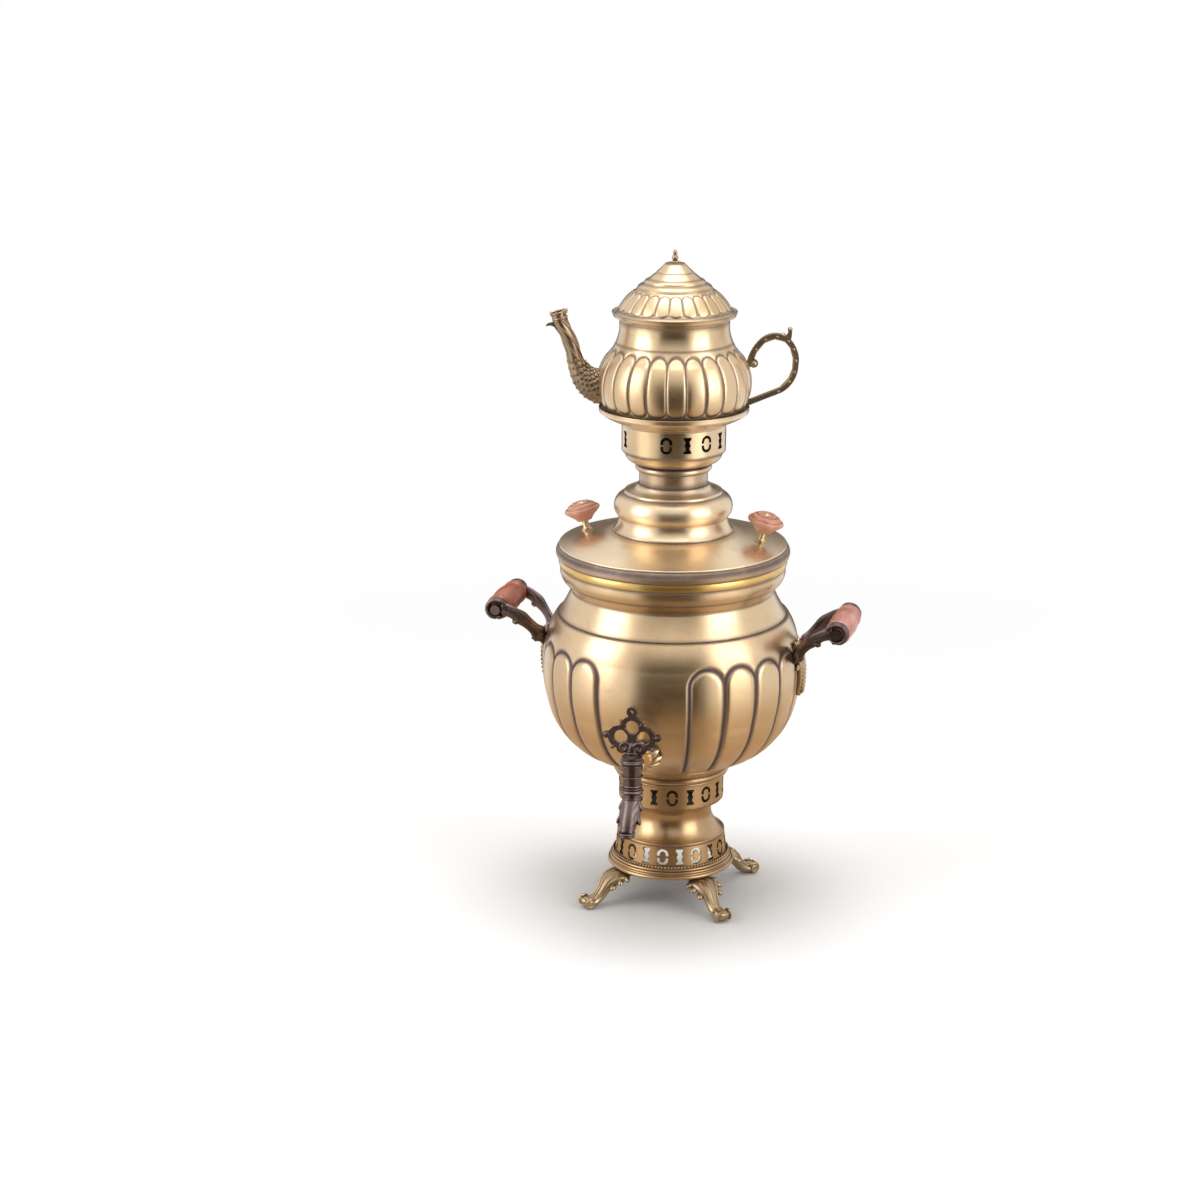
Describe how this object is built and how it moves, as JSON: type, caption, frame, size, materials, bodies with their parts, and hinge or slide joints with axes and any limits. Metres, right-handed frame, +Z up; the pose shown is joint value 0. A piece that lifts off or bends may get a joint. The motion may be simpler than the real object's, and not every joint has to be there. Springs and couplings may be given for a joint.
{
  "type": "charcoal samovar",
  "caption": "Charcoal-heated water urn on a pierced pedestal, with tap, side handles, lid with wooden knobs, chimney crown and a lidded teapot standing on it.",
  "frame": {"origin": "on the urn's vertical axis, in the plane on which the feet stand", "axes": "+Z up along the urn's axis, -Y towards the tap, +X and -X towards the two handles"},
  "size_m": [0.334, 0.2857, 0.5926],
  "materials": {
    "antique_brass": "satin with dark patina in the grooves",
    "dark_cast_brass": "dark patinated casting",
    "bright_brass": "polished",
    "plain_brass": "turned",
    "sooty_iron": "rough",
    "turned_wood": "lacquered"
  },
  "bodies": {
    "urn": {"front_right_foot": "dark_cast_brass", "front_left_foot": "dark_cast_brass", "rear_left_foot": "dark_cast_brass", "rear_right_foot": "dark_cast_brass", "base_ring": "antique_brass", "lower_gallery": "antique_brass", "waist": "antique_brass", "upper_gallery": "antique_brass", "collar": "antique_brass", "vessel_floor": "antique_brass", "urn_shell": "antique_brass", "urn_neck": "antique_brass", "mouth_ring": "bright_brass", "fire_tube": "sooty_iron", "fire_grate": "sooty_iron", "tap_flange": "dark_cast_brass", "tap_body": "dark_cast_brass", "tap_washer": "plain_brass", "tap_nut": "plain_brass", "right_handle_bracket": "dark_cast_brass", "right_handle_grip": "turned_wood", "right_handle_rod": "plain_brass", "right_handle_rivets": "plain_brass", "left_handle_bracket": "dark_cast_brass", "left_handle_grip": "turned_wood", "left_handle_rod": "plain_brass", "left_handle_rivets": "plain_brass"},
    "tap_key": {"tap_key": "dark_cast_brass"},
    "lid": {"lid_rim": "antique_brass", "lid_skirt": "antique_brass", "lid_plate": "antique_brass", "lid_dome": "antique_brass", "left_knob_stem": "plain_brass", "left_knob_nut": "plain_brass", "left_knob": "turned_wood", "left_knob_screw": "plain_brass", "right_knob_stem": "plain_brass", "right_knob_nut": "plain_brass", "right_knob": "turned_wood", "right_knob_screw": "plain_brass"},
    "crown": {"crown_neck": "antique_brass", "crown_bowl": "antique_brass", "crown_gallery": "antique_brass", "crown_dish": "antique_brass"},
    "teapot": {"teapot_body": "antique_brass", "teapot_spout": "dark_cast_brass", "teapot_handle": "dark_cast_brass"},
    "teapot_lid": {"teapot_lid": "antique_brass", "teapot_lid_skirt": "antique_brass", "teapot_finial": "plain_brass", "teapot_finial_nut": "plain_brass"}
  },
  "joints": [
    {"name": "tap_turn", "type": "hinge", "parent": "urn", "child": "tap_key", "pos_m": [0, -0.145, 0.167], "axis": [0, 0, 1], "continuous": true},
    {"name": "lid_lift", "type": "slide", "parent": "urn", "child": "lid", "axis": [0, 0, 1], "range_m": [0, 0.09]},
    {"name": "crown_lift", "type": "slide", "parent": "lid", "child": "crown", "axis": [0, 0, 1], "range_m": [0, 0.04]},
    {"name": "teapot_lift", "type": "slide", "parent": "crown", "child": "teapot", "axis": [0, 0, 1], "range_m": [0, 0.06]},
    {"name": "teapot_lid_lift", "type": "slide", "parent": "teapot", "child": "teapot_lid", "axis": [0, 0, 1], "range_m": [0, 0.05]}
  ]
}
